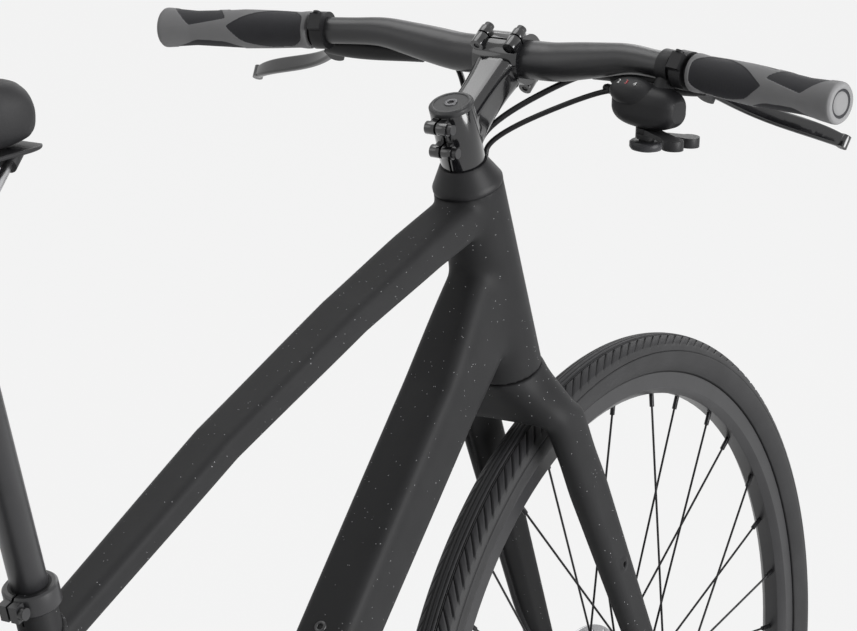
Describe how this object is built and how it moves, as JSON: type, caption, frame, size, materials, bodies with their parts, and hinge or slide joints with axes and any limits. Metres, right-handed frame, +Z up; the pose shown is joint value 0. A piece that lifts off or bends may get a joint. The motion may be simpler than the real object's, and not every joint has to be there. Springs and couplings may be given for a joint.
{
  "type": "hybrid bike",
  "caption": "Flat-bar hybrid bike with dark frame, covered headset with hidden hoses, rigid fork, disc brakes, single chainring with derailleur, grey grips and black tyres.",
  "frame": {"origin": "on the ground under the middle of the bike, half way along its length", "axes": "+X forward along the bike, +Y to the rider's left, +Z up"},
  "size_m": [1.8148, 0.6482, 1.0748],
  "materials": {
    "frame_paint": "satin dark grey paint with fine sparse silver specks",
    "black_alloy": "satin black anodised alloy",
    "gloss_black": "gloss black paint",
    "black_plastic": "matte black moulded plastic",
    "hose_plastic": "smooth black hose cover",
    "grip_rubber": "mid-grey rubber with charcoal ribbed panels",
    "tyre_rubber": "black rubber with a slick centre and feathered shoulders",
    "spoke_black": "black oxide steel",
    "steel": "brushed stainless steel",
    "dark_steel": "dark nickel steel",
    "saddle_fabric": "matte black grained synthetic leather over foam"
  },
  "bodies": {
    "main_frame": {"head_tube": "frame_paint", "headset_bearings": "steel", "top_tube": "frame_paint", "down_tube": "frame_paint", "seat_tube": "frame_paint", "bottom_bracket_shell": "frame_paint", "chainstays": "frame_paint", "seatstays": "frame_paint", "seat_clamp": "black_alloy", "bottom_bracket": "black_alloy", "rear_axle": "steel", "rear_caliper": "black_alloy", "rear_cables": "hose_plastic", "derailleur_body": "black_alloy", "derailleur_cage": "dark_steel", "chain": "dark_steel"},
    "seat": {"seatpost": "black_alloy", "saddle_clamp": "black_alloy", "saddle_rails": "steel", "saddle_base": "black_plastic", "saddle_cover": "saddle_fabric"},
    "steering": {"fork": "frame_paint", "headset_cover": "black_plastic", "top_cap": "black_alloy", "stem": "gloss_black", "stem_faceplate": "gloss_black", "stem_bolts": "black_alloy", "handlebar": "black_alloy", "left_grip": "grip_rubber", "right_grip": "grip_rubber", "left_brake_housing": "black_plastic", "right_brake_housing": "black_plastic", "brake_hoses": "hose_plastic", "shift_cable_housing": "hose_plastic", "shifter_housing": "black_plastic", "front_caliper": "black_alloy", "front_axle": "steel"},
    "left_lever": {"left_brake_lever": "gloss_black"},
    "right_lever": {"right_brake_lever": "gloss_black"},
    "shift_thumb_lever": {"shift_lever": "black_plastic"},
    "shift_release_lever": {"release_lever": "black_plastic"},
    "front_wheel": {"front_tyre": "tyre_rubber", "front_rim": "black_alloy", "front_spokes": "spoke_black", "front_hub": "black_alloy", "front_rotor": "steel"},
    "rear_wheel": {"rear_tyre": "tyre_rubber", "rear_rim": "black_alloy", "rear_spokes": "spoke_black", "rear_hub": "black_alloy", "rear_rotor": "steel"},
    "sprocket_cluster": {"cassette": "dark_steel"},
    "crankset": {"chainring": "dark_steel", "right_crank": "black_alloy", "left_crank": "black_alloy", "pedal_axles": "steel"},
    "left_foot_pedal": {"left_pedal": "black_plastic"},
    "right_foot_pedal": {"right_pedal": "black_plastic"},
    "upper_jockey_wheel": {"guide_pulley": "black_plastic"},
    "lower_jockey_wheel": {"tension_pulley": "black_plastic"}
  },
  "joints": [
    {"name": "steering", "type": "hinge", "parent": "main_frame", "child": "steering", "pos_m": [0.32112, 0, 0.88465], "axis": [-0.3305, 0, 0.9438], "range_deg": [-60, 60]},
    {"name": "front_wheel_spin", "type": "hinge", "parent": "steering", "child": "front_wheel", "pos_m": [0.5585, 0, 0.349], "axis": [0, 1, 0], "continuous": true},
    {"name": "rear_wheel_spin", "type": "hinge", "parent": "main_frame", "child": "rear_wheel", "pos_m": [-0.5585, 0, 0.349], "axis": [0, 1, 0], "continuous": true},
    {"name": "crank_spin", "type": "hinge", "parent": "main_frame", "child": "crankset", "pos_m": [-0.12309, 0, 0.279], "axis": [0, 1, 0], "continuous": true, "deforming": ["chain"]},
    {"name": "cassette_spin", "type": "hinge", "parent": "main_frame", "child": "sprocket_cluster", "pos_m": [-0.5585, 0, 0.349], "axis": [0, 1, 0], "continuous": true},
    {"name": "upper_jockey_spin", "type": "hinge", "parent": "main_frame", "child": "upper_jockey_wheel", "pos_m": [-0.5485, -0.046, 0.246], "axis": [0, 1, 0], "continuous": true},
    {"name": "lower_jockey_spin", "type": "hinge", "parent": "main_frame", "child": "lower_jockey_wheel", "pos_m": [-0.48712, -0.046, 0.18576], "axis": [0, 1, 0], "continuous": true},
    {"name": "left_pedal_spin", "type": "hinge", "parent": "crankset", "child": "left_foot_pedal", "pos_m": [-0.29309, 0.062, 0.279], "axis": [0, 1, 0], "continuous": true},
    {"name": "right_pedal_spin", "type": "hinge", "parent": "crankset", "child": "right_foot_pedal", "pos_m": [0.04691, -0.062, 0.279], "axis": [0, 1, 0], "continuous": true},
    {"name": "left_brake_lever", "type": "hinge", "parent": "steering", "child": "left_lever", "pos_m": [0.39916, 0.1789, 0.96596], "axis": [0.5531, 0.1252, 0.8236], "range_deg": [0, 20], "stiffness_Nm_per_rad": 0.8, "springref_deg": -20.05},
    {"name": "right_brake_lever", "type": "hinge", "parent": "steering", "child": "right_lever", "pos_m": [0.39916, -0.1789, 0.96596], "axis": [-0.5531, 0.1252, -0.8236], "range_deg": [0, 20], "stiffness_Nm_per_rad": 0.8, "springref_deg": -20.05},
    {"name": "shift_thumb_lever", "type": "hinge", "parent": "steering", "child": "shift_thumb_lever", "pos_m": [0.35891, -0.14445, 0.94041], "axis": [0, -0.052, 0.9986], "range_deg": [0, 24], "stiffness_Nm_per_rad": 0.06, "springref_deg": -17.19},
    {"name": "shift_release_lever", "type": "hinge", "parent": "steering", "child": "shift_release_lever", "pos_m": [0.35891, -0.14445, 0.94041], "axis": [0, -0.052, 0.9986], "range_deg": [0, 10], "stiffness_Nm_per_rad": 0.06, "springref_deg": -17.19},
    {"name": "seatpost_slide", "type": "slide", "parent": "main_frame", "child": "seat", "axis": [-0.2815, 0, 0.9596], "range_m": [-0.1, 0.03]}
  ],
  "couplings": [
    {"joint": "cassette_spin", "follows": "crank_spin", "ratio": 2},
    {"joint": "upper_jockey_spin", "follows": "crank_spin", "ratio": -3.6364},
    {"joint": "lower_jockey_spin", "follows": "crank_spin", "ratio": 3.6364}
  ]
}
